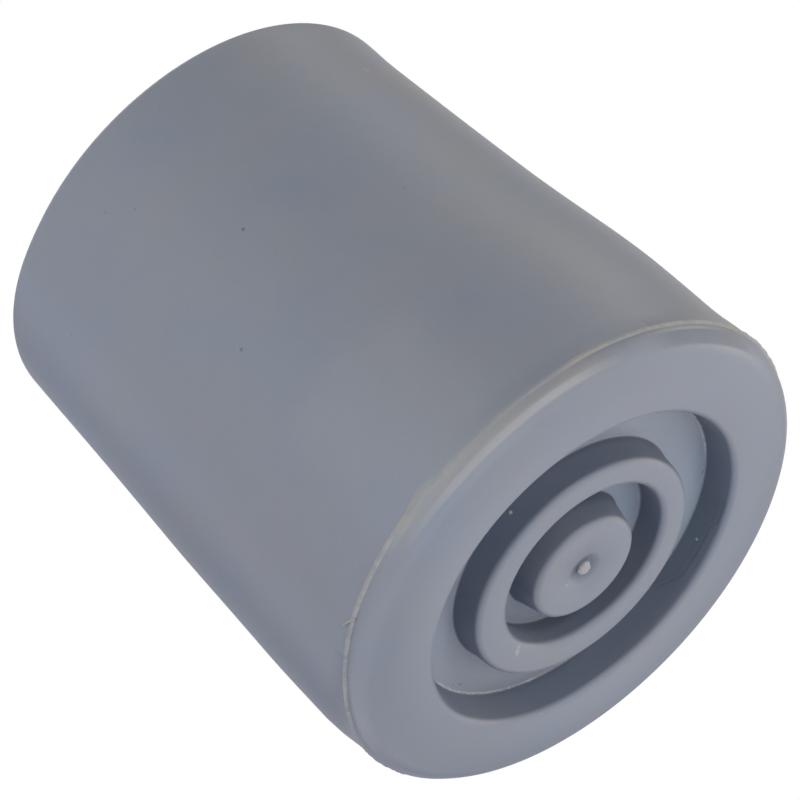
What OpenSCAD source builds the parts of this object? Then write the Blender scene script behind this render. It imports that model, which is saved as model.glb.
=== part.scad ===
// Rubber cane tip: a moulded ferrule that pushes over the end of a cane or
// crutch leg. It stands on its tread at z = 0 and its socket opens upwards.
// The whole form is one half section turned about the z axis, in millimetres.

/* [Body] */
// Overall height, from the tread to the mouth
tip_h = 37.5; // [34:0.5:60]
// Outer diameter of the solid base, at the parting line
base_d = 34.1; // [33:0.1:46]
// Height at which the base ends and the steeper skirt starts
base_h = 11; // [6:0.5:18]
// Draft of the base's side, in degrees
base_draft = 1.3; // [0:0.1:3]
// Outer diameter at the mouth
mouth_d = 29.9; // [27:0.1:33]
// Radius of the soft bend between the base and the skirt
bend_round = 120; // [20:5:200]
// Rounding of the outer edge at the mouth
mouth_round = 0.5; // [0.2:0.1:1.2]

/* [Socket] */
// Diameter of the socket, which grips the cane
socket_d = 22; // [16:0.2:23]
// Depth of the socket, from the mouth to its bottom
socket_depth = 26; // [16:0.5:30]
// Rounding of the lip where the cane goes in
lip_round = 0.8; // [0.3:0.1:1.5]
// Rounding in the corner at the bottom of the socket
socket_round = 1; // [0.3:0.1:3]

/* [Tread] */
// Rounding of the outer edge of the tread
tread_round = 2.1; // [0.8:0.05:3]
// Diameter of the recess, at the tread
recess_d = 23.2; // [21:0.2:26]
// Depth of the recess, from the tread to its floor
recess_depth = 2.3; // [1.2:0.1:4]
// Draft of the recess's outer wall, in degrees
recess_draft = 9; // [1:0.5:12]
// Rounding of every edge round the recess, the ring and the boss
crest_round = 0.4; // [0.1:0.05:0.5]
// Rounding of every corner on the recess floor
floor_round = 0.2; // [0.1:0.05:0.4]

/* [Ring in the recess] */
// Outer diameter of the ring, at its crest
ring_d = 16.2; // [15:0.1:18]
// Width of the ring, across its crest
ring_w = 2.1; // [1.2:0.05:2.6]
// How far the crest lies behind the tread
ring_drop = 0.2; // [0:0.05:0.6]
// Draft of the ring's outer wall, in degrees
ring_draft = 6; // [1:0.5:10]
// Draft of the ring's inner wall, in degrees
ring_inner_draft = 2; // [1:0.5:10]

/* [Boss at the centre] */
// Diameter of the boss, at its face
boss_d = 7.5; // [5:0.1:9]
// How far the face lies behind the tread
boss_drop = 0.1; // [0:0.05:0.6]
// Draft of the boss's wall, in degrees
boss_draft = 12; // [1:0.5:14]

/* [Moulding marks] */
// How far the parting line stands out from the side
parting_out = 0.1; // [0.05:0.01:0.3]
// Width of the parting line at its root
parting_w = 0.4; // [0.2:0.05:0.8]
// How far the mould's lower half was narrower than its upper half, all round
parting_step = 0.1; // [0:0.02:0.2]
// Diameter of the sunken gate mark in the boss
gate_d = 2.6; // [1.6:0.1:4]
// Depth of the gate mark
gate_depth = 0.2; // [0.1:0.05:0.5]
// Diameter of the nub that the gate left in its mark
nub_d = 0.9; // [0.5:0.05:1.3]
// How far the nub's end lies behind the tread
nub_drop = 0.05; // [0:0.05:0.1]

/* [Hidden] */

// Steps in a full turn, in a small arc, and in an arc of a large circle
turn_fn = 160;
arc_fn = 360;
wide_arc_fn = 1440;

// How far forms that join run into each other
overlap = 0.5;
// How far an arc or a flank passes the side that it runs into, so that they cross
bite = 0.0005;

parting_z = tread_round;
base_r = base_d / 2;
edge_r = base_r - parting_step;
waist_r = base_r - tan(base_draft) * (base_h - parting_z);
mouth_r = mouth_d / 2;
socket_r = socket_d / 2;
socket_floor_z = tip_h - socket_depth;
recess_r = recess_d / 2;
ring_r = ring_d / 2;
boss_r = boss_d / 2;

// Direction from point a to point b, of length 1
function toward(a, b) = (b - a) / norm(b - a);

// What lies between the corner at p, whose sides run towards a and b, and the
// arc of radius r that touches both sides. Taken away it rounds an edge, and
// added it fills a corner. Its back runs past the corner, by overlap.
module spandrel(p, a, b, r, steps = arc_fn) {
    u = toward(p, a);
    v = toward(p, b);
    half = acos(u * v) / 2;
    reach = r / tan(half);
    middle = toward([0, 0], u + v);
    centre = p + middle * r / sin(half);
    difference() {
        polygon([p - middle * overlap, p + u * reach, centre, p + v * reach]);
        translate(centre)
            circle(r = r + bite, $fn = steps);
    }
}

// Outer form: tread, rounded edge, base with a slight draft, steeper skirt and
// mouth. The edge below the parting line comes from the narrower half of the
// mould. The bend is softened no further than the parting line.
module outer_section() {
    foot = [edge_r, 0];
    shoulder = [base_r, parting_z];
    waist = [waist_r, base_h];
    mouth = [mouth_r, tip_h];
    turn = atan((waist_r - mouth_r) / (tip_h - base_h)) - base_draft;
    difference() {
        polygon([[0, 0], foot, [edge_r, parting_z], shoulder, waist, mouth, [0, tip_h]]);
        spandrel(foot, [0, 0], [edge_r, parting_z], tread_round);
        spandrel(mouth, [0, tip_h], waist, mouth_round);
        if (turn > 0) {
            room = norm(waist - shoulder) - parting_w;
            spandrel(waist, shoulder, mouth, min(bend_round, room / tan(turn / 2)), wide_arc_fn);
        }
    }
}

// Thin ridge where the two halves of the mould met. Its lower flank springs
// from the rounded edge and its upper flank from the side.
module parting_section() {
    root_r = edge_r - tread_round + sqrt(pow(tread_round, 2) - pow(parting_w / 2, 2));
    side_r = base_r - tan(base_draft) * parting_w / 2 - bite;
    polygon([
        [edge_r - overlap, parting_z - parting_w / 2],
        [root_r, parting_z - parting_w / 2],
        [base_r + parting_out, parting_z - parting_w / 8],
        [base_r + parting_out, parting_z + parting_w / 8],
        [side_r, parting_z + parting_w / 2],
        [edge_r - overlap, parting_z + parting_w / 2]
    ]);
}

// Recess in the tread, with a leaning wall and a rounded edge and corner
module recess_section() {
    edge = [recess_r, 0];
    corner = [recess_r - tan(recess_draft) * recess_depth, recess_depth];
    difference() {
        union() {
            polygon([[0, -overlap], [recess_r, -overlap], edge, corner, [0, recess_depth]]);
            spandrel(edge, corner, [base_r, 0], crest_round);
        }
        spandrel(corner, edge, [0, recess_depth], floor_round);
    }
}

// One side of a wall that stands on the recess floor: everything from the z
// axis out to a wall whose crest has radius r and lies at height drop
module standing_side(r, drop, draft) {
    lean = tan(draft);
    crest = [r, drop];
    foot = [r + lean * (recess_depth - drop), recess_depth];
    root = [foot[0] + lean * overlap, recess_depth + overlap];
    difference() {
        union() {
            polygon([[0, drop], crest, root, [0, root[1]]]);
            spandrel(foot, crest, foot + [1, 0], floor_round);
        }
        spandrel(crest, foot, [0, drop], crest_round);
    }
}

// The other side of such a wall: everything from the z axis out to a wall that
// faces inwards, which is the hollow inside a ring
module hollow_side(r, drop, draft) {
    lean = tan(draft);
    crest = [r, drop];
    foot = [r - lean * (recess_depth - drop), recess_depth];
    difference() {
        union() {
            polygon([[0, drop - overlap], [r, drop - overlap], crest, foot, [0, recess_depth]]);
            spandrel(crest, foot, crest + [1, 0], crest_round);
        }
        spandrel(foot, crest, [0, recess_depth], floor_round);
    }
}

// Sunken gate mark, a shallow part of a ball
module gate_section() {
    gate_r = gate_d / 2;
    ball_r = (gate_r * gate_r + gate_depth * gate_depth) / (2 * gate_depth);
    intersection() {
        translate([0, boss_drop + gate_depth - ball_r])
            circle(r = ball_r, $fn = wide_arc_fn);
        translate([0, boss_drop - overlap])
            square([gate_d, 2 * overlap]);
    }
}

// Nub in the gate mark, with a rounded edge
module nub_section() {
    nub_r = nub_d / 2;
    difference() {
        translate([0, nub_drop])
            square([nub_r, boss_drop + gate_depth + overlap - nub_drop]);
        spandrel([nub_r, nub_drop], [0, nub_drop], [nub_r, nub_drop + 1], nub_r / 3);
    }
}

// Everything that the mould pressed into the tread
module tread_section() {
    difference() {
        recess_section();
        difference() {
            standing_side(ring_r, ring_drop, ring_draft);
            hollow_side(ring_r - ring_w, ring_drop, ring_inner_draft);
        }
        difference() {
            standing_side(boss_r, boss_drop, boss_draft);
            gate_section();
        }
        nub_section();
    }
}

// Socket for the cane, with a rounded lip and a rounded bottom corner
module socket_section() {
    lip = [socket_r, tip_h];
    bottom = [socket_r, socket_floor_z];
    difference() {
        union() {
            translate([0, socket_floor_z])
                square([socket_r, socket_depth + overlap]);
            spandrel(lip, bottom, [mouth_r, tip_h], lip_round);
        }
        spandrel(bottom, lip, [0, socket_floor_z], socket_round);
    }
}

module half_section() {
    difference() {
        union() {
            outer_section();
            parting_section();
        }
        tread_section();
        socket_section();
    }
}

module cane_tip() {
    color([0.53, 0.55, 0.60])
        rotate_extrude($fn = turn_fn)
            half_section();
}

cane_tip();
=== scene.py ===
from math import atan2, cos, degrees, hypot, pi, radians, sin, tan

import bmesh
import bpy
from mathutils import Matrix, Vector


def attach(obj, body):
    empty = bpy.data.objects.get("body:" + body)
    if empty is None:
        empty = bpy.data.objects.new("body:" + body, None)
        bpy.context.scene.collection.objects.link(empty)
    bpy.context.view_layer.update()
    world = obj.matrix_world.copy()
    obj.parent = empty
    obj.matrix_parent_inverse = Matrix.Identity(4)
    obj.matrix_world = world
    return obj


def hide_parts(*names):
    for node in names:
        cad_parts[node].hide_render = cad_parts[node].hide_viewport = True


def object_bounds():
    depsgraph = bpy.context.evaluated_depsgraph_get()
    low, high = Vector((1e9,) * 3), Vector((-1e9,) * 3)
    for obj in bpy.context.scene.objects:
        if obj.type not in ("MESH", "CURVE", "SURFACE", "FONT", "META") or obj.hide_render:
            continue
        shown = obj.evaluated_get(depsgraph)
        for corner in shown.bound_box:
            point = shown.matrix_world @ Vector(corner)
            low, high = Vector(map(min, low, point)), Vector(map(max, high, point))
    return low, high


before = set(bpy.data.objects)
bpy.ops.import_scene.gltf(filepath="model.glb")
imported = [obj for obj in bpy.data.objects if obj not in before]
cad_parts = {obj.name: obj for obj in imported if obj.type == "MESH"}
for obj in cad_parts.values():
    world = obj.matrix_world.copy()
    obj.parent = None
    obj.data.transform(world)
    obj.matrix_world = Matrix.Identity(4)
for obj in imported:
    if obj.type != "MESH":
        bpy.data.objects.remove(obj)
cadLow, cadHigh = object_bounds()
mm = 0.001

print("frame loaded")


def deselectAll():
    if bpy.context.object and bpy.context.object.mode != "OBJECT":
        bpy.ops.object.mode_set(mode="OBJECT")
    bpy.ops.object.select_all(action="DESELECT")


def useModifier(piece, kind, **settings):
    # adds a modifier with these settings and applies it
    modifier = piece.modifiers.new(kind.title(), kind)
    for name, value in settings.items():
        setattr(modifier, name, value)
    bpy.context.view_layer.objects.active = piece
    bpy.ops.object.modifier_apply(modifier=modifier.name)


# The tip is one moulding. All lengths here are millimetres, angles degrees.
# The centres say how far each ring sits off the axis, towards +X, because the
# two halves of the mould didn't meet quite true.
tip = {
    "sides": 384,
    "height": (cadHigh.z - cadLow.z) / mm,
    "flashOut": 0.1,          # how far the parting line stands out in the solid
    "flashRise": 0.05,        # and here, before its edge is made ragged
    "flashWidth": 0.24,
    "flashHeight": 1.9,
    "flashBends": ((1.0, 4.0, 0.1), (10.5, 16.5, -0.42)),   # towards the left it rises, then falls
    "flashRagged": 0.09,      # how far its edge wanders in and out
    "flashEase": (0.7, 2.2),  # its bends fade out at this height, and this far above the line
    "step": 0.2,              # the tread's half of the mould was this much narrower
    "crown": 0.3,             # how far the tread falls away before its rounded edge
    "crownTurn": 12.0,        # and how far it has turned by then
    "treadRound": 1.5,
    "baseHeight": 11.0,       # the solid base ends here and the skirt starts
    "baseDraft": 1.3,
    "bend": 3.0,              # length of the soft bend on each side of that height
    "pinch": 0.08,            # how far the base draws in above the parting line
    "pinchStart": 5.2,
    "mouthRadius": 14.95,
    "hollow": 0.09,           # how far the skirt has sunk in, half way up
    "flare": 0.06,            # and how far it opens again at the mouth
    "flareLength": 3.0,
    "mouthRound": 0.3,
    "mouthLong": 0.35,        # how much longer the mouth's left side is
    "longAcross": (7, 15),    # growing to that over these distances, to the left
    "longDown": (8, 0.5),     # and down from the mouth
    "socketRadius": 11.0,
    "socketDepth": 26.0,
    "socketMiddle": 1.0,      # the last ring on its floor, before that closes
    "lipRound": 0.8,
    "socketRound": 1.0,
    "recessRadius": 11.6,
    "recessDepth": 2.3,
    "recessDraft": 9.0,
    "ringRadius": 8.1,
    "ringInner": 6.0,
    "ringDrop": 0.2,
    "ringDraft": 6.0,
    "ringInnerDraft": 2.0,
    "bossRadius": 3.75,
    "bossDrop": 0.1,
    "bossDraft": 12.0,
    "crestRound": 0.45,
    "floorRound": 0.15,
    "gateRadius": 1.3,
    "gateDepth": 0.28,
    "gateCurve": ((0.8, 0.42), (0.6, 0.76)),   # shares of its radius and depth, on the way in
    "nubRadius": 0.49,
    "nubTaper": 0.92,
    "nubRound": 0.22,
    "nubDrop": 0.08,
    "nubRagged": 0.09,
    "treadCentre": 0.12,
    "partingCentre": 0.18,
    "recessCentre": 0.2,
    "floorCentre": 0.25,
    "ringCentre": 0.14,
    "ringInnerCentre": 0.37,
    "bossCentre": 0.2,
    "baseCentre": -0.12,
    "skirtCentre": -0.35,
    "mouthCentre": -0.28,
}
tip["baseRadius"] = (cadHigh.x - cadLow.x) / 2 / mm - tip["flashOut"]
tip["edgeRadius"] = tip["baseRadius"] - tip["step"]
tip["waistRadius"] = (tip["baseRadius"]
                      - tan(radians(tip["baseDraft"])) * (tip["baseHeight"] - tip["flashHeight"]))

ring = {"radius": 0.0, "height": 0.0, "centre": 0.0}   # the ring that is being extruded


def startRing(radius, height, centre):
    ring.update(radius=radius, height=height, centre=centre)


def growTo(radius, height, centre=None, steps=1):
    # extrudes the selected ring, in steps, to a new radius, height and centre
    centre = ring["centre"] if centre is None else centre
    start = dict(ring)
    for step in range(1, steps + 1):
        share = step / steps
        new = {"radius": start["radius"] + (radius - start["radius"]) * share,
               "height": start["height"] + (height - start["height"]) * share,
               "centre": start["centre"] + (centre - start["centre"]) * share}
        move = ((new["centre"] - ring["centre"]) * mm, 0, (new["height"] - ring["height"]) * mm)
        grow = new["radius"] / ring["radius"]
        bpy.ops.mesh.extrude_region_move(TRANSFORM_OT_translate={"value": move})
        bpy.ops.transform.resize(value=(grow, grow, 1), center_override=(new["centre"] * mm, 0, 0))
        ring.update(new)


def closeRing():
    bpy.ops.mesh.merge(type="CENTER")


def pickRing(radius, height, centre, slack=0.004):
    # in edit mode: selects the ring of edges at this radius and height
    bpy.ops.mesh.select_mode(type="EDGE")
    bpy.ops.mesh.select_all(action="DESELECT")
    mesh = bmesh.from_edit_mesh(bpy.context.object.data)
    for edge in mesh.edges:
        edge.select_set(all(abs(hypot(v.co.x / mm - centre, v.co.y / mm) - radius) < slack
                            and abs(v.co.z / mm - height) < slack for v in edge.verts))
    bmesh.update_edit_mesh(bpy.context.object.data)


def roundRing(radius, height, centre, rounding, turn, segments):
    # rounds the ring of edges there; turn is the angle between its two sides
    pickRing(radius, height, centre)
    bpy.ops.mesh.bevel(offset=rounding / tan(radians(turn) / 2) * mm, offset_type="OFFSET",
                       segments=segments, profile=0.5, affect="EDGES")


def easeBetween(value, low, high):
    # 0 below low, 1 above high, and a smooth climb between them
    share = min(max((value - low) / (high - low), 0.0), 1.0)   # low may be the higher number
    return share * share * (3 - 2 * share)


def plateau(value, start, full, fade, end):
    # 1 from full to fade, with a smooth climb before it and a smooth fall after it
    return easeBetween(value, start, full) * easeBetween(value, end, fade)


def sideRadius(height):
    # base with a slight draft, soft bend, then the skirt up to the mouth
    baseSlope = tan(radians(tip["baseDraft"]))
    skirtSlope = (tip["waistRadius"] - tip["mouthRadius"]) / (tip["height"] - tip["baseHeight"])
    past = height - tip["baseHeight"]
    radius = tip["waistRadius"] - past * (skirtSlope if past > 0 else baseSlope)
    if abs(past) < tip["bend"]:
        radius -= (skirtSlope - baseSlope) * (tip["bend"] - abs(past)) ** 2 / (4 * tip["bend"])
    radius -= tip["pinch"] * easeBetween(height, tip["pinchStart"], tip["flashHeight"])
    share = max(past, 0) / (tip["height"] - tip["baseHeight"])
    radius -= tip["hollow"] * sin(pi * share)
    return radius + tip["flare"] * easeBetween(height, tip["height"] - tip["flareLength"], tip["height"])


def sideCentre(height):
    # the base sits true in its half of the mould, and the skirt leans off it
    centre = tip["baseCentre"]
    centre += (tip["partingCentre"] - centre) * easeBetween(height, tip["pinchStart"], tip["flashHeight"])
    centre += (tip["skirtCentre"] - centre) * easeBetween(height, tip["baseHeight"], 2 * tip["baseHeight"])
    top = tip["height"]
    return centre + (tip["mouthCentre"] - centre) * easeBetween(height, top - tip["flareLength"], top)


def makeTip():
    deselectAll()
    treadRound, crown = tip["treadRound"], tip["crown"]
    turn = radians(tip["crownTurn"])
    arcRadius = tip["edgeRadius"] - treadRound
    crownEnd = arcRadius + treadRound * sin(turn)
    crownLength = 2 * crown / tan(turn)
    bpy.ops.mesh.primitive_circle_add(vertices=tip["sides"], radius=crownEnd * mm,
                                      location=(tip["treadCentre"] * mm, 0, crown * mm))
    piece = bpy.context.object
    piece.name = piece.data.name = "mouldedTip"
    bpy.ops.object.transform_apply(location=True)
    startRing(crownEnd, crown, tip["treadCentre"])
    bpy.ops.object.mode_set(mode="EDIT")
    bpy.ops.mesh.select_mode(type="VERT")
    bpy.ops.mesh.select_all(action="SELECT")

    # outwards round the edge of the tread, as far as the foot of the parting line
    half = tip["flashWidth"] / 2
    arcSteps = 14
    for step in range(1, arcSteps + 1):
        angle = turn + (pi / 2 - turn) * step / arcSteps
        centre = tip["treadCentre"] + (tip["partingCentre"] - tip["treadCentre"]) * step / arcSteps
        growTo(arcRadius + treadRound * sin(angle),
               crown + treadRound * (cos(turn) - cos(angle)), centre)
    line = max(tip["flashHeight"], ring["height"] + half + 0.01)

    # over the parting line and up the side
    base = sideRadius(line + half)
    ridge = base + tip["flashRise"]
    growTo(ring["radius"], line - half)
    growTo(ridge, line - half / 4)
    growTo(ridge, line + half / 4)
    growTo(base, line + half)
    sideSteps = 32
    start = line + half
    for step in range(1, sideSteps + 1):
        height = start + (tip["height"] - start) * step / sideSteps
        growTo(sideRadius(height), height, sideCentre(height))
    mouthRadius = ring["radius"]

    # across the mouth and down the socket
    floorHeight = tip["height"] - tip["socketDepth"]
    growTo(tip["socketRadius"], tip["height"], 0.0)
    growTo(tip["socketRadius"], floorHeight, steps=6)
    growTo(tip["socketMiddle"], floorHeight, steps=4)
    closeRing()

    # inwards over the tread: recess, ring and boss
    depth = tip["recessDepth"]
    recessFoot = tip["recessRadius"] - tan(radians(tip["recessDraft"])) * depth
    ringFoot = tip["ringRadius"] + tan(radians(tip["ringDraft"])) * (depth - tip["ringDrop"])
    innerFoot = tip["ringInner"] - tan(radians(tip["ringInnerDraft"])) * (depth - tip["ringDrop"])
    bossFoot = tip["bossRadius"] + tan(radians(tip["bossDraft"])) * (depth - tip["bossDrop"])
    pickRing(crownEnd, crown, tip["treadCentre"])
    startRing(crownEnd, crown, tip["treadCentre"])
    crownSteps = 6
    for step in range(1, crownSteps + 1):
        share = step / crownSteps
        growTo(crownEnd - crownLength * share, crown * (1 - share) ** 2)
    growTo(tip["recessRadius"], 0.0, tip["recessCentre"])
    growTo(recessFoot, depth, tip["floorCentre"])
    growTo(ringFoot, depth, tip["ringCentre"])
    growTo(tip["ringRadius"], tip["ringDrop"])
    growTo(tip["ringInner"], tip["ringDrop"], tip["ringInnerCentre"])
    growTo(innerFoot, depth)
    growTo(bossFoot, depth, tip["bossCentre"])
    growTo(tip["bossRadius"], tip["bossDrop"])
    growTo(tip["gateRadius"], tip["bossDrop"])
    for share, deep in tip["gateCurve"]:
        growTo(tip["gateRadius"] * share, tip["bossDrop"] + tip["gateDepth"] * deep)
    growTo(tip["nubRadius"], tip["bossDrop"] + tip["gateDepth"])
    nubEnd = tip["nubRadius"] * tip["nubTaper"]
    growTo(nubEnd, tip["nubDrop"], steps=2)
    growTo(tip["nubRadius"] * 0.2, tip["nubDrop"])
    closeRing()

    # every edge and corner gets its rounding
    crest, corner = tip["crestRound"], tip["floorRound"]
    for radius, height, centre, rounding, turn, segments in (
            (mouthRadius, tip["height"], tip["mouthCentre"], tip["mouthRound"], 94, 6),
            (tip["socketRadius"], tip["height"], 0.0, tip["lipRound"], 90, 6),
            (tip["socketRadius"], floorHeight, 0.0, tip["socketRound"], 90, 5),
            (tip["recessRadius"], 0.0, tip["recessCentre"], crest, 90 + tip["recessDraft"], 6),
            (recessFoot, depth, tip["floorCentre"], corner, 90 + tip["recessDraft"], 4),
            (ringFoot, depth, tip["ringCentre"], corner, 90 + tip["ringDraft"], 4),
            (tip["ringRadius"], tip["ringDrop"], tip["ringCentre"], crest, 90 + tip["ringDraft"], 6),
            (tip["ringInner"], tip["ringDrop"], tip["ringInnerCentre"], crest,
             90 + tip["ringInnerDraft"], 6),
            (innerFoot, depth, tip["ringInnerCentre"], corner, 90 + tip["ringInnerDraft"], 4),
            (bossFoot, depth, tip["bossCentre"], corner, 90 + tip["bossDraft"], 4),
            (tip["bossRadius"], tip["bossDrop"], tip["bossCentre"], crest, 90 + tip["bossDraft"], 6),
            (nubEnd, tip["nubDrop"], tip["bossCentre"], tip["nubRound"], 90, 5)):
        roundRing(radius, height, centre, rounding, turn, segments)

    bpy.ops.mesh.select_all(action="SELECT")
    bpy.ops.mesh.normals_make_consistent(inside=False)
    bpy.ops.object.mode_set(mode="OBJECT")
    return piece


def azimuthOf(place):
    # 0 at +X, 90 at the front (-Y), in degrees
    return degrees(atan2(-place.y, place.x))


def groupBy(piece, name, weightOf):
    # a vertex group whose weights weightOf gives for each place in millimetres
    group = piece.vertex_groups.new(name=name)
    for vertex in piece.data.vertices:
        weight = weightOf(vertex.co / mm)
        if weight > 0:
            group.add([vertex.index], weight, "REPLACE")
    return group.name


def cloudTexture(name, size):
    texture = bpy.data.textures.new(name, "CLOUDS")
    texture.noise_scale = size * mm
    texture.noise_depth = 2
    return texture


def onFlash(place):
    return (hypot(place.x, place.y) > tip["edgeRadius"] - 0.3
            and abs(place.z - tip["flashHeight"]) < tip["flashWidth"] / 2 + 0.02)


def onEdge(place):
    return hypot(place.x, place.y) > tip["edgeRadius"] - tip["treadRound"]


# where the parting line rises to a torn corner
flashTab = {"azimuth": 100.5, "wide": 5.5, "rise": 0.32}


def flashFade(height):
    # full on the parting line, fading over the rounded edge below it and the side above it
    line, half = tip["flashHeight"], tip["flashWidth"] / 2
    start, above = tip["flashEase"]
    return plateau(height, start, line - half, line + half, line + above)


def tabWeight(place):
    away = abs(azimuthOf(place) - flashTab["azimuth"]) / flashTab["wide"]
    return float(away < 1 and onEdge(place)) * (1 - away) * flashFade(place.z)


# where the parting line is rubbed away, along the near edge
rubbed = {"reach": 0.6, "around": (56, 68, 108, 122), "height": (1.2, 1.5, 2.2, 2.6)}


def rubbedWeight(place):
    near = hypot(place.x, place.y) > tip["edgeRadius"] - rubbed["reach"]
    return near and plateau(azimuthOf(place), *rubbed["around"]) * plateau(place.z, *rubbed["height"])


def bendWeight(place, start, end):
    return float(onEdge(place)) * easeBetween(-place.x, start, end) * flashFade(place.z)


def longWeight(place):
    far, near = tip["longDown"]
    return (easeBetween(-place.x, *tip["longAcross"])
            * easeBetween(place.z, tip["height"] - far, tip["height"] - near))


def roughenMarks(piece):
    # the mouth's longer side, the parting line's ragged edge, bends and corner, then the torn gate nub
    useModifier(piece, "DISPLACE", direction="Z", mid_level=0, strength=tip["mouthLong"] * mm,
                vertex_group=groupBy(piece, "longSide", longWeight))
    ridgeHalf = tip["flashWidth"] / 4
    ragged = groupBy(piece, "ragged", lambda place: float(
        onFlash(place) and abs(place.z - tip["flashHeight"]) < ridgeHalf))
    useModifier(piece, "DISPLACE", texture=cloudTexture("raggedFlash", 0.5), texture_coords="LOCAL",
                mid_level=0.45, strength=2 * tip["flashRagged"] * mm, vertex_group=ragged)
    for start, end, rise in tip["flashBends"]:
        bent = groupBy(piece, "bent", lambda place: bendWeight(place, start, end))
        useModifier(piece, "DISPLACE", direction="Z", mid_level=0, strength=rise * mm, vertex_group=bent)
    useModifier(piece, "DISPLACE", direction="Z", mid_level=0, strength=flashTab["rise"] * mm,
                vertex_group=groupBy(piece, "tab", tabWeight))
    nubReach = tip["nubRadius"] + 0.01
    torn = groupBy(piece, "torn", lambda place: float(
        hypot(place.x - tip["bossCentre"], place.y) < nubReach and place.z < 0.5))
    useModifier(piece, "DISPLACE", texture=cloudTexture("tornNub", 0.35), texture_coords="LOCAL",
                mid_level=0.35, strength=2 * tip["nubRagged"] * mm, vertex_group=torn)
    useModifier(piece, "SMOOTH", factor=0.5, iterations=14,
                vertex_group=groupBy(piece, "rubbed", rubbedWeight))
    piece.vertex_groups.clear()


# a whisker of flash that lies on the side, millimetres
whisker = {"start": (-11.2, -12.62, 1.9), "end": (-11.95, -11.93, 2.54), "root": 0.1, "tip": 0.05}


def makeWhisker():
    deselectAll()
    start, end = Vector(whisker["start"]) * mm, Vector(whisker["end"]) * mm
    along = end - start
    bpy.ops.mesh.primitive_cone_add(vertices=10, radius1=whisker["root"] * mm, radius2=whisker["tip"] * mm,
                                    depth=along.length, location=(start + end) / 2,
                                    rotation=along.to_track_quat("Z", "Y").to_euler())
    bpy.ops.object.mode_set(mode="EDIT")
    bpy.ops.mesh.select_all(action="SELECT")
    bpy.ops.mesh.subdivide(number_cuts=2)
    bpy.ops.object.mode_set(mode="OBJECT")
    bpy.ops.object.transform_apply(location=True, rotation=True)
    bpy.context.object.data.materials.append(makeFlashRubber())
    return bpy.context.object


def joinTo(piece, extra):
    deselectAll()
    extra.select_set(True)
    piece.select_set(True)
    bpy.context.view_layer.objects.active = piece
    bpy.ops.object.join()


# small building blocks for the materials

def addNode(tree, kind, **settings):
    node = tree.nodes.new("ShaderNode" + kind)
    for name, value in settings.items():
        setattr(node, name, value)
    return node


def plug(tree, value, socket):
    # links an output, or sets a plain number, vector or colour
    if isinstance(value, bpy.types.NodeSocket):
        tree.links.new(value, socket)
    elif hasattr(socket.default_value, "__len__") and len(socket.default_value) == 4:
        socket.default_value = (*value, 1)
    else:
        socket.default_value = value


def calc(tree, operation, first, second=0.0, third=0.0):
    node = addNode(tree, "Math", operation=operation)
    for value, socket in zip((first, second, third), node.inputs):
        plug(tree, value, socket)
    return node.outputs[0]


def vectorCalc(tree, operation, first, second=(0, 0, 0), output="Vector"):
    node = addNode(tree, "VectorMath", operation=operation)
    plug(tree, first, node.inputs[0])
    plug(tree, second, node.inputs["Scale" if operation == "SCALE" else 1])
    return node.outputs[output]


def ramp(tree, value, low, high, start=0.0, end=1.0):
    # a smooth climb from start at low to end at high
    node = addNode(tree, "MapRange", interpolation_type="SMOOTHSTEP")
    for item, socket in zip((value, low, high, start, end), node.inputs):
        plug(tree, item, socket)
    return node.outputs[0]


def window(tree, value, low, high, soft):
    # 1 between low and high, and 0 further than soft outside them
    return calc(tree, "MULTIPLY", ramp(tree, value, low - soft, low),
                ramp(tree, value, high, high + soft, 1, 0))


def noise(tree, place, size, detail=2.0, roughness=0.5):
    node = addNode(tree, "TexNoise", noise_dimensions="3D")
    plug(tree, place, node.inputs["Vector"])
    for name, value in (("Scale", 1 / size), ("Detail", detail), ("Roughness", roughness)):
        node.inputs[name].default_value = value
    return node.outputs[0]


def blendColor(tree, share, first, second):
    node = addNode(tree, "Mix", data_type="RGBA")
    plug(tree, share, node.inputs[0])
    plug(tree, first, node.inputs[6])
    plug(tree, second, node.inputs[7])
    return node.outputs[2]


def tint(tree, share, color, tone):
    # multiplies the colour by a tone, which is a number or one number per channel
    tone = (tone,) * 3 if isinstance(tone, float) else tone
    return blendColor(tree, share, color, vectorCalc(tree, "MULTIPLY", color, tone))


def both(tree, first, *others):
    # the share where all of these meet
    for other in others:
        first = calc(tree, "MULTIPLY", first, other)
    return first


def swing(tree, value, amount, middle=0.0):
    # turns a noise from 0 to 1 into one that swings about the middle, by amount in all
    return calc(tree, "MULTIPLY_ADD", value, amount, middle - amount / 2)


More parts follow.
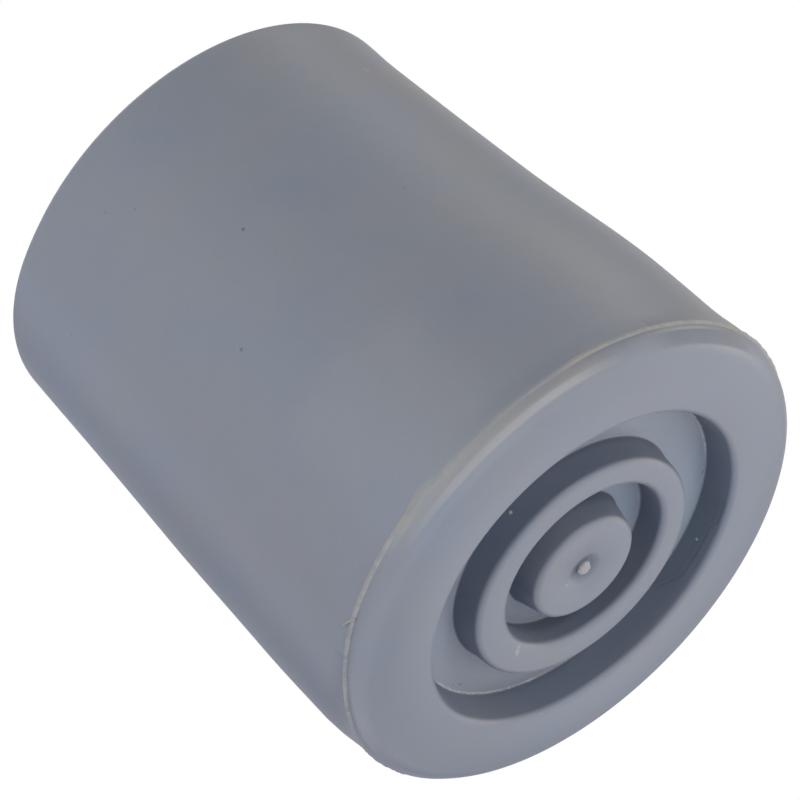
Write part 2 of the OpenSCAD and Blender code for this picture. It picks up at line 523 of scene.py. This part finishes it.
rubber = {
    "blueSide": (0.204, 0.230, 0.280),      # the two ends of its blotches
    "warmSide": (0.219, 0.232, 0.265),
    "blotchSize": 7.0,                      # millimetres, as every size here
    "cloudSize": 2.2,
    "grainSize": 0.22,
    "patchSize": 0.9,                       # of the wear along the parting line
    "fraySize": 0.25,                       # of the torn flash
    "seamSize": 0.4,
    "cloudTone": 0.09,                      # how far clouds and grain change the tone
    "grainTone": 0.07,
    "cloudGloss": 0.12,                     # and how far clouds change the roughness
    "sheenTone": (1.07, 1.065, 1.05),       # each tone is times the colour: painted sheen on the front of the base
    "wallShadeTone": (0.53, 0.58, 0.65),         # painted shade on the walls in the recess
    "litFloorTone": (1.16, 1.16, 1.16),        # painted light on the recess floor, at the left
    "litFloorRightTone": (1.34, 1.41, 1.44),        # and more of it at the right
    "treadShadeTone": (0.84, 0.86, 0.89),        # painted shade on the left of the tread
    "upperShadeTone": 0.93,                      # painted shade on the upper left of the side
    "ringShadeTone": 0.93,                       # painted shade on the ring and the boss
    "flashColor": (0.375, 0.365, 0.365),
    "flashStain": (0.335, 0.325, 0.295),    # older, yellower flash
    "tornColor": (0.38, 0.38, 0.385),
    "speckColor": (0.07, 0.075, 0.095),
    "speckCore": 0.4,                       # share of a speck's radius that has its full strength
    "dustColor": (0.5, 0.52, 0.5),
    "gloss": 0.45,
    "glossEdge": 0.92,                      # roughness where it is seen along the surface
    "glossFacing": (0.45, 0.75),            # and from where to where it grows to that
    "specular": 0.5,
    "grainDepth": 0.006,
    "peelDepth": 0.012,
    "peelSize": 1.3,
}

bodyMarks = {
    "sheenAround": (84, 104, 14),           # painted sheen on the front of the base, a window on the azimuth
    "sheenTop": (11.2, 13.6),
    "sheenWander": 3.0,                     # how far its edge wanders, up and down
    "sheenTurn": 4.0,                       # and in degrees around, for each millimetre of that
    "upperAcross": (-15.5, -9),             # painted shade on the upper left of the side, by x and height
    "upperHeight": (16, 34),
    "treadAcross": (-14, -3),               # painted shade on the left of the tread, by x and height
    "treadHeight": (0.15, 0.6),
}

recessMarks = {
    "ring": (5.0, 9.6, 0.1),                # the ring is in this window on the radius
    "boss": (4.7, 4.9),                     # and the boss inside this
    "wallStart": 0.01,                      # the painted shade starts behind the crest
    "wallSoft": 0.28,
    "footSoft": (0.06, 0.005),              # and fades out before the floor
    "floorSoft": 0.02,
    # the painted light on the floor grows across this, from left to right
    "litFloorAcross": (-5, 7),
    "dimRadius": (8.3, 8.5),                # the painted shade on the ring and the boss lies inside this
    "dimAcross": (-8, 7),
    "dimLeast": 0.15,                       # how much of the painted shade is left at the right
    "dimHeight": (0.3, 0.7),
}

# Marks along the edge of the tread: painted highlight, painted shade and light, a yellowed stain, and a
# darker band above the line. Each has a window across, on a height, and one around, on an azimuth, and a
# window is its low and high end and how softly it fades.
edgeMarks = [
    # mostly a painted highlight, with a yellowed stain under the parting line
    ("stainAndHighlight", "fromBase", (-1.1, -0.15, 0.15), "azimuth", (64, 102, 16), "outside", (1.23, 1.15, 1.03)),
    # a painted highlight on the rounded edge
    ("paintedHighlight", "height", (0.8, 1.05, 0.14), "azimuth", (64, 94, 18), "onSide", 1.18),
    # painted shade on the right of the edge, which is also matter there
    ("paintedShade", "height", (0.68, 1.34, 0.14), "azimuth", (14, 34, 12), "onSide", 0.96),
    # painted light on the far left of the edge
    ("paintedLight", "height", (0.8, 1.7, 0.4), "turn", (170, 190, 20), "onSide", 1.12),
    # darker just above the parting line
    ("darkAboveLine", "fromLine", (0.3, 0.5, 1.2), "azimuth", (46, 80, 12), "onSide", 0.92),
]

flash = {
    "across": (-0.09, 0.12, 0.07),          # windows on the height from the line, or on the azimuth
    "stained": (12, 106, 8),
    "gone": (66, 97, 8),                    # rubbed away here
    "goneShare": 0.9,
    "thin": (154, 168, 1.0, 0.3),           # thins out towards the far left
    "patchy": (0.6, 0.4),
    "tabAcross": (-0.35, 0.0, 0.25),
    "tabAround": (98, 105, 14),
    "tabPatchy": (0.35, 0.2),
}

seam = {                                    # pale line where the recess wall meets the floor
    "across": (11.1, 11.16, 0.05),
    "ragged": 0.3,
    "height": (2.15, 2.5, 0.05),
    "around": ((-24, 4, 4), (-176, -112, 4)),
    "patchy": (0.45, 0.1),
}

smear = {                                   # dried on the recess wall, up to the floor
    "around": (-77, -40, 2),
    "wallFrom": (10.9, 11.1),
    "edge": ((-79, -68, 1.75, 0.85), (-52.5, -46.5, 0, -0.42)),   # the height of its edge, by azimuth
    "ragged": 0.2,
    "tone": (0.9, 0.95, 0.94),
    "outlines": ((0.0, 0.8), (0.4, 0.92)),  # how far inside its edge, and their tone
    "outlineHalf": 0.03,
}


def onSide(azimuth, height):
    # a place on the outside, by its azimuth about the side's own centre
    turn, radius = radians(azimuth), sideRadius(height)
    return sideCentre(height) + radius * cos(turn), -radius * sin(turn), height


def inTread(azimuth, radius, height):
    # a place in the tread, by its azimuth about the axis
    turn = radians(azimuth)
    return radius * cos(turn), -radius * sin(turn), height


def onFloor(azimuth, radius):
    return inTread(azimuth, radius, tip["recessDepth"])


def onRing(azimuth, radius):
    return inTread(azimuth, radius, tip["ringDrop"])


# place, radius and strength of each speck of dirt
darkSpecks = [
    (onSide(86, 24.3), 0.17, 0.7), (onSide(105, 18.5), 0.16, 0.7), (onSide(99.5, 31.5), 0.13, 0.3),
    (onSide(105, 33.2), 0.13, 0.3), (onSide(135, 31.4), 0.13, 0.35), (onSide(79, 35.5), 0.11, 0.3),
    (onSide(54, 19.8), 0.13, 0.3), (onSide(46, 35.3), 0.13, 0.25), (onSide(153, 14), 0.13, 0.3),
    (inTread(166, 15.5, 0.2), 0.14, 0.3), (onFloor(-165.5, 10.4), 0.13, 0.7),
    (onFloor(-169.5, 10.55), 0.09, 0.4), (onFloor(-33, 11.25), 0.12, 0.6),
]
# and of each grain of pale dust, four of them in a row on the ring
paleSpecks = [
    (onSide(28, 31.8), 0.12, 0.35), (onSide(28, 31.55), 0.11, 0.3),
    (inTread(93, 8.25, 1.75), 0.15, 0.8), (inTread(-57, 11.5, 1.3), 0.13, 0.7),
    (inTread(-57, 11.55, 1.25), 0.1, 0.35), (inTread(-3, 11.6, 1.55), 0.11, 0.6),
    (inTread(168, 1.3, tip["bossDrop"]), 0.14, 0.3), (inTread(-134, 11.65, 0.1), 0.1, 0.35),
    (onRing(-171.5, 6.05), 0.22, 0.22), (onRing(-170.5, 6.25), 0.24, 0.25),
    (onRing(-169, 6.35), 0.22, 0.3), (onRing(-168, 6.5), 0.2, 0.25), (onFloor(-170, 8.45), 0.1, 0.4),
]


def speckMask(tree, place, specks):
    total = 0.0
    for middle, radius, strength in specks:
        away = vectorCalc(tree, "DISTANCE", place, middle, output="Value")
        core = radius * rubber["speckCore"]
        total = calc(tree, "MAXIMUM", total, ramp(tree, away, core, radius, strength, 0))
    return total


def millimetres(tree):
    return vectorCalc(tree, "SCALE", addNode(tree, "TexCoord").outputs["Object"], 1 / mm)


def startMaterial(name):
    material = bpy.data.materials.new(name)
    material.use_nodes = True
    shader = material.node_tree.nodes["Principled BSDF"]
    shader.inputs["Specular IOR Level"].default_value = rubber["specular"]
    return material, material.node_tree, shader


def makeFlashRubber():
    material, tree, shader = startMaterial("tornFlash")
    fray = noise(tree, millimetres(tree), rubber["fraySize"], 3.0, 0.7)
    color = blendColor(tree, fray, rubber["flashStain"], rubber["flashColor"])
    plug(tree, color, shader.inputs["Base Color"])
    plug(tree, ramp(tree, fray, 0.3, 0.7, 0.6, 0.85), shader.inputs["Roughness"])
    return material


def readPlace(tree):
    # all that the marks are placed by, in millimetres and degrees, and the noises
    place = millimetres(tree)
    axes = addNode(tree, "SeparateXYZ")
    plug(tree, place, axes.inputs[0])
    x, y, height = axes.outputs
    radius = vectorCalc(tree, "LENGTH", vectorCalc(tree, "MULTIPLY", place, (1, 1, 0)), output="Value")
    azimuth = calc(tree, "DEGREES", calc(tree, "ARCTAN2", calc(tree, "MULTIPLY", y, -1.0), x))
    offCentre = vectorCalc(tree, "SUBTRACT", place, (tip["floorCentre"], 0, 0))
    recess = vectorCalc(tree, "LENGTH", vectorCalc(tree, "MULTIPLY", offCentre, (1, 1, 0)), output="Value")
    inRecess = both(tree, ramp(tree, recess, tip["recessRadius"] + 0.3, tip["recessRadius"] + 0.45, 1, 0),
                    ramp(tree, height, tip["recessDepth"] + 0.3, tip["recessDepth"] + 0.7, 1, 0))

    # the parting line bends, and rises to its torn corner
    base = tip["flashHeight"]
    for start, end, rise in tip["flashBends"]:
        base = calc(tree, "ADD", ramp(tree, x, -end, -start, rise, 0), base)
    away = calc(tree, "ABSOLUTE", calc(tree, "SUBTRACT", azimuth, flashTab["azimuth"]))
    tabShare = calc(tree, "MULTIPLY_ADD", away, -1 / flashTab["wide"], 1.0)
    tabShare.node.use_clamp = True
    line = calc(tree, "MULTIPLY_ADD", tabShare, flashTab["rise"], base)

    edge = tip["edgeRadius"]
    return {
        "place": place, "x": x, "height": height, "azimuth": azimuth,
        "turn": calc(tree, "ABSOLUTE", azimuth),
        "recess": recess, "inRecess": inRecess,     # distance from the recess's middle
        "fromBase": calc(tree, "SUBTRACT", height, base),
        "fromLine": calc(tree, "SUBTRACT", height, line),
        "onSide": ramp(tree, radius, edge - 1.2, edge - 0.6),
        "outside": ramp(tree, radius, edge - 0.7, edge - 0.35),
        "blotch": noise(tree, place, rubber["blotchSize"], 3.0),
        "cloud": noise(tree, place, rubber["cloudSize"], 4.0, 0.6),
        "grain": noise(tree, place, rubber["grainSize"]),
        "patchy": ramp(tree, noise(tree, place, rubber["patchSize"], 3.0, 0.7), 0.38, 0.6),
    }


def mixRubber(tree, spot):
    # soft blotches, clouds and a fine grain
    share = ramp(tree, spot["blotch"], 0.3, 0.7)
    color = blendColor(tree, share, rubber["blueSide"], rubber["warmSide"])
    tone = both(tree, swing(tree, spot["cloud"], rubber["cloudTone"], 1.0),
                swing(tree, spot["grain"], rubber["grainTone"], 1.0))
    return vectorCalc(tree, "SCALE", color, tone)


def toneBody(tree, spot, color):
    # painted sheen on the front of the base, up to the bend, with a wandering edge
    wander = swing(tree, spot["blotch"], bodyMarks["sheenWander"])
    around = calc(tree, "ADD", spot["azimuth"], calc(tree, "MULTIPLY", wander, bodyMarks["sheenTurn"]))
    below = ramp(tree, calc(tree, "ADD", spot["height"], wander), *bodyMarks["sheenTop"], 1, 0)
    front = both(tree, window(tree, around, *bodyMarks["sheenAround"]), below, spot["onSide"])
    color = tint(tree, front, color, rubber["sheenTone"])

    # painted shade on the upper left of the side and on the left of the tread
    upper = both(tree, ramp(tree, spot["x"], *bodyMarks["upperAcross"], 1, 0),
                 ramp(tree, spot["height"], *bodyMarks["upperHeight"], 1, 0), spot["onSide"])
    color = tint(tree, upper, color, rubber["upperShadeTone"])
    tread = both(tree, ramp(tree, spot["x"], *bodyMarks["treadAcross"], 1, 0),
                 ramp(tree, spot["height"], *bodyMarks["treadHeight"], 1, 0),
                 ramp(tree, spot["recess"], tip["recessRadius"], tip["recessRadius"] + 0.3))
    return tint(tree, tread, color, rubber["treadShadeTone"])


def toneRecess(tree, spot, color):
    # painted shade on the walls, each from just behind its crest to the corner at its foot
    height, recess, depth = spot["height"], spot["recess"], tip["recessDepth"]
    ringDrop = calc(tree, "MULTIPLY", window(tree, recess, *recessMarks["ring"]), tip["ringDrop"])
    drop = calc(tree, "ADD", ringDrop, ramp(tree, recess, *recessMarks["boss"], tip["bossDrop"], 0))
    wallFrom = calc(tree, "ADD", drop, recessMarks["wallStart"])
    wallFull = calc(tree, "ADD", wallFrom, recessMarks["wallSoft"])
    footFrom, footEnd = recessMarks["footSoft"]
    wall = both(tree, spot["inRecess"], ramp(tree, height, wallFrom, wallFull),
                ramp(tree, height, depth - footFrom, depth - footEnd, 1, 0))
    color = tint(tree, wall, color, rubber["wallShadeTone"])

    # painted light on the floor, more at the right, and painted shade on the ring and boss
    litFloorShare = ramp(tree, spot["x"], *recessMarks["litFloorAcross"])
    floorLight = blendColor(tree, litFloorShare, rubber["litFloorTone"], rubber["litFloorRightTone"])
    floor = both(tree, spot["inRecess"], ramp(tree, height, depth - recessMarks["floorSoft"], depth))
    color = tint(tree, floor, color, floorLight)
    dim = both(tree, ramp(tree, recess, *recessMarks["dimRadius"], 1, 0),
               ramp(tree, spot["x"], *recessMarks["dimAcross"], 1, recessMarks["dimLeast"]),
               ramp(tree, height, *recessMarks["dimHeight"], 1, 0))
    return tint(tree, dim, color, rubber["ringShadeTone"])


def toneEdge(tree, spot, color):
    # painted highlight, light and shade along the edge, a yellowed stain and a darker band above the line
    for name, height, across, turn, around, where, tone in edgeMarks:
        spot[name] = both(tree, window(tree, spot[height], *across), window(tree, spot[turn], *around),
                          spot[where])
        color = tint(tree, spot[name], color, tone)
    return color


def drawFlash(tree, spot, color):
    # the parting line, paler where it is torn, and its torn corner
    azimuth, fromLine = spot["azimuth"], spot["fromLine"]
    gone = window(tree, azimuth, *flash["gone"])
    spot["line"] = both(tree, spot["outside"], window(tree, fromLine, *flash["across"]),
                        calc(tree, "MULTIPLY_ADD", spot["patchy"], *flash["patchy"]),
                        calc(tree, "MULTIPLY_ADD", gone, -flash["goneShare"], 1.0),
                        ramp(tree, spot["turn"], *flash["thin"]))
    tab = both(tree, spot["outside"], window(tree, fromLine, *flash["tabAcross"]),
               window(tree, azimuth, *flash["tabAround"]),
               calc(tree, "MULTIPLY_ADD", spot["patchy"], *flash["tabPatchy"]))
    stained = window(tree, azimuth, *flash["stained"])
    flashTone = blendColor(tree, stained, rubber["flashColor"], rubber["flashStain"])
    return blendColor(tree, calc(tree, "MAXIMUM", spot["line"], tab), color, flashTone)


def drawSeam(tree, spot, color):
    ragged = swing(tree, noise(tree, spot["place"], rubber["seamSize"], 2.0, 0.6), seam["ragged"])
    across = window(tree, calc(tree, "ADD", spot["recess"], ragged), *seam["across"])
    around = calc(tree, "MAXIMUM", *(window(tree, spot["azimuth"], *arc) for arc in seam["around"]))
    share = both(tree, across, around, window(tree, spot["height"], *seam["height"]),
                 calc(tree, "MULTIPLY_ADD", spot["patchy"], *seam["patchy"]))
    return blendColor(tree, share, color, rubber["dustColor"])


def drawSmear(tree, spot, color):
    # the smear has a darker outline, and a fainter one inside it
    edge = calc(tree, "ADD", *(ramp(tree, spot["azimuth"], *slope) for slope in smear["edge"]))
    edge = calc(tree, "ADD", edge, swing(tree, spot["cloud"], smear["ragged"]))
    inside = calc(tree, "SUBTRACT", spot["height"], edge)
    place = both(tree, spot["inRecess"], window(tree, spot["azimuth"], *smear["around"]),
                 ramp(tree, spot["recess"], *smear["wallFrom"]))
    color = tint(tree, both(tree, place, ramp(tree, inside, -0.03, 0.05)), color, smear["tone"])
    half = smear["outlineHalf"]
    for depth, tone in smear["outlines"]:
        outline = window(tree, inside, depth - half, depth + half, 0.05)
        color = tint(tree, both(tree, place, outline), color, tone)
    return color


def drawSpecks(tree, spot, color):
    # the torn nub of the gate, then dirt and dust
    fromNub = vectorCalc(tree, "DISTANCE", spot["place"], (tip["bossCentre"], 0, 0.1), output="Value")
    spot["nub"] = ramp(tree, fromNub, tip["nubRadius"] - 0.02, tip["nubRadius"] + 0.12, 1, 0)
    share = both(tree, spot["nub"], ramp(tree, spot["grain"], 0.25, 0.5, 0.6, 1))
    color = blendColor(tree, share, color, rubber["tornColor"])
    color = blendColor(tree, speckMask(tree, spot["place"], darkSpecks), color, rubber["speckColor"])
    return blendColor(tree, speckMask(tree, spot["place"], paleSpecks), color, rubber["dustColor"])


def setGloss(tree, spot, socket):
    # satin, matter where it is torn, where the edge has painted shade, and where it is seen along the
    # surface
    facing = addNode(tree, "LayerWeight").outputs["Facing"]
    matt = ramp(tree, facing, *rubber["glossFacing"])
    for share in ("nub", "line", "paintedShade"):
        matt = calc(tree, "MAXIMUM", matt, spot[share])
    mix = addNode(tree, "Mix", data_type="FLOAT")
    plug(tree, matt, mix.inputs[0])
    plug(tree, swing(tree, spot["cloud"], rubber["cloudGloss"], rubber["gloss"]), mix.inputs[2])
    plug(tree, rubber["glossEdge"], mix.inputs[3])
    plug(tree, mix.outputs[0], socket)


def setBump(tree, spot, socket):
    # fine grain over a soft orange peel
    peel = noise(tree, spot["place"], rubber["peelSize"])
    normal = None
    for texture, depth in ((peel, rubber["peelDepth"]), (spot["grain"], rubber["grainDepth"])):
        bump = addNode(tree, "Bump")
        bump.inputs["Strength"].default_value = 1.0
        bump.inputs["Distance"].default_value = depth * mm
        plug(tree, texture, bump.inputs["Height"])
        if normal:
            plug(tree, normal, bump.inputs["Normal"])
        normal = bump.outputs[0]
    plug(tree, normal, socket)


def makeRubber():
    material, tree, shader = startMaterial("greyRubber")
    spot = readPlace(tree)
    color = mixRubber(tree, spot)
    for paint in (toneBody, toneRecess, toneEdge, drawFlash, drawSeam, drawSmear, drawSpecks):
        color = paint(tree, spot, color)
    plug(tree, color, shader.inputs["Base Color"])
    setGloss(tree, spot, shader.inputs["Roughness"])
    setBump(tree, spot, shader.inputs["Normal"])
    print("rubber mixed:", len(tree.nodes), "nodes")
    return material


mouldedTip = makeTip()
mouldedTip.data.materials.append(makeRubber())
roughenMarks(mouldedTip)
joinTo(mouldedTip, makeWhisker())
bpy.ops.object.shade_smooth_by_angle(angle=radians(40))
print("tip modelled:", len(mouldedTip.data.polygons), "faces")
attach(mouldedTip, "root")
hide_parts("cane_tip")


# a sheet of pale paper, metres
paper = {"size": 2.0, "color": (0.9, 0.9, 0.9), "drop": 0.00002, "fadeFrom": 0.12, "fadeTo": 0.3}


def makeFloor():
    # it can be seen from above only, and fades into the white further off
    deselectAll()
    bpy.ops.mesh.primitive_plane_add(size=paper["size"], location=(0, 0, -paper["drop"]))
    floor = bpy.context.object
    floor.name = "paleFloor"
    material = bpy.data.materials.new("palePaper")
    material.use_nodes = True
    tree = material.node_tree
    tree.nodes.clear()
    place = addNode(tree, "TexCoord").outputs["Object"]
    fade = ramp(tree, vectorCalc(tree, "LENGTH", place, output="Value"), paper["fadeFrom"], paper["fadeTo"])
    sheet = addNode(tree, "BsdfDiffuse")
    plug(tree, paper["color"], sheet.inputs["Color"])
    mix = addNode(tree, "MixShader")
    below = addNode(tree, "NewGeometry").outputs["Backfacing"]
    plug(tree, calc(tree, "MAXIMUM", fade, below), mix.inputs[0])
    plug(tree, sheet.outputs[0], mix.inputs[1])
    plug(tree, addNode(tree, "BsdfTransparent").outputs[0], mix.inputs[2])
    plug(tree, mix.outputs[0], addNode(tree, "OutputMaterial").inputs["Surface"])
    floor.data.materials.append(material)
    floor.visible_diffuse = floor.visible_glossy = False
    floor.visible_shadow = floor.visible_transmission = False
    return floor


makeFloor()

world = {"color": (1.0, 1.0, 1.0), "light": 0.06, "seen": 1.0}   # how strong as light, and as seen


def makeWorld():
    background = bpy.data.worlds.new("studio")
    bpy.context.scene.world = background
    background.use_nodes = True
    tree = background.node_tree
    tree.nodes.clear()
    ray = addNode(tree, "LightPath")
    seen = calc(tree, "MAXIMUM", ray.outputs["Is Camera Ray"], ray.outputs["Is Glossy Ray"])
    seen = calc(tree, "MAXIMUM", seen, ray.outputs["Is Transmission Ray"])
    mix = addNode(tree, "MixShader")
    plug(tree, seen, mix.inputs[0])
    for strength, socket in ((world["light"], mix.inputs[1]), (world["seen"], mix.inputs[2])):
        glow = addNode(tree, "Background")
        plug(tree, world["color"], glow.inputs["Color"])
        plug(tree, strength, glow.inputs["Strength"])
        plug(tree, glow.outputs[0], socket)
    plug(tree, mix.outputs[0], addNode(tree, "OutputWorld").inputs["Surface"])


studio = {
    "distance": 0.5,            # metres, as the height that the lamps aim at and their widths
    "aim": 0.0185,
    "wide": 0.55,
    "narrow": 0.1,
    "white": (1.0, 1.0, 1.0),
    "daylight": (0.97, 0.98, 1.0),
    "cool": (0.9, 0.9, 1.0),
    "blue": (0.82, 0.82, 1.0),
    "sky": (0.5, 0.6, 1.0),
    "warm": (1.0, 0.87, 0.7),
}
# name, azimuth from the front, elevation, power in watts, width and colour
lamps = [
    ("front", 0, 15, 0.6, "wide", "daylight"),
    ("frontLeft", -35, 15, 0.75, "wide", "daylight"),
    ("left", -70, -12, 0.5, "wide", "daylight"),
    ("leftBack", -110, -12, 0.65, "wide", "blue"),
    ("leftHigh", -90, 50, 0.2, "wide", "sky"),
    ("rightLow", 110, -12, 0.7, "wide", "warm"),
    ("rightBack", 110, 15, 0.25, "wide", "warm"),
    ("rightFar", 130, 0, 1.0, "wide", "warm"),
    ("underFront", 60, -65, 1.05, "wide", "daylight"),
    ("underLeft", -60, -65, 0.55, "wide", "cool"),
    ("underFar", -120, -65, 0.25, "wide", "cool"),
    ("underBack", 150, -40, 0.45, "wide", "daylight"),
    ("frontGlint", 42, -31, 0.5, "narrow", "daylight"),
    ("back", 180, 15, 1.4, "wide", "daylight"),
    ("top", 180, 80, 2.0, "wide", "white"),
]


def makeLamp(name, azimuth, elevation, power, width, color):
    lamp = bpy.data.lights.new(name, "AREA")
    lamp.shape = "DISK"
    lamp.size = studio[width]
    lamp.energy = power
    lamp.color = studio[color]
    lampObject = bpy.data.objects.new(name, lamp)
    bpy.context.scene.collection.objects.link(lampObject)
    turn, rise = radians(azimuth), radians(elevation)
    back = Vector((sin(turn) * cos(rise), -cos(turn) * cos(rise), sin(rise)))
    lampObject.location = Vector((0, 0, studio["aim"])) + back * studio["distance"]
    lampObject.rotation_mode = "QUATERNION"
    lampObject.rotation_quaternion = back.to_track_quat("Z", "Y")
    lampObject.visible_camera = False


makeWorld()
for settings in lamps:
    makeLamp(*settings)

view = {
    "aim": (-0.15, 0, 17.8),    # millimetres
    "distance": 345.0,
    "lens": 252.0,
    "elevation": -31.85,        # below the floor, looking up at the tread
    "roll": -46.3,
}


def makeCamera():
    camera = bpy.data.cameras.new("camera")
    camera.lens = view["lens"]
    camera.sensor_width = 36
    camera.clip_start, camera.clip_end = 0.005, 10
    cameraObject = bpy.data.objects.new("camera", camera)
    bpy.context.scene.collection.objects.link(cameraObject)
    rise = radians(view["elevation"])
    back = Vector((0, -cos(rise), sin(rise)))
    level = Matrix.Rotation(pi / 2 - rise, 3, "X")
    cameraObject.rotation_mode = "QUATERNION"
    roll = Matrix.Rotation(radians(view["roll"]), 3, "Z")
    cameraObject.rotation_quaternion = (level @ roll).to_quaternion()
    cameraObject.location = Vector(view["aim"]) * mm + back * view["distance"] * mm
    bpy.context.scene.camera = cameraObject


makeCamera()
bpy.context.scene.view_settings.view_transform = "Standard"
print("studio ready:", len(lamps), "lamps")
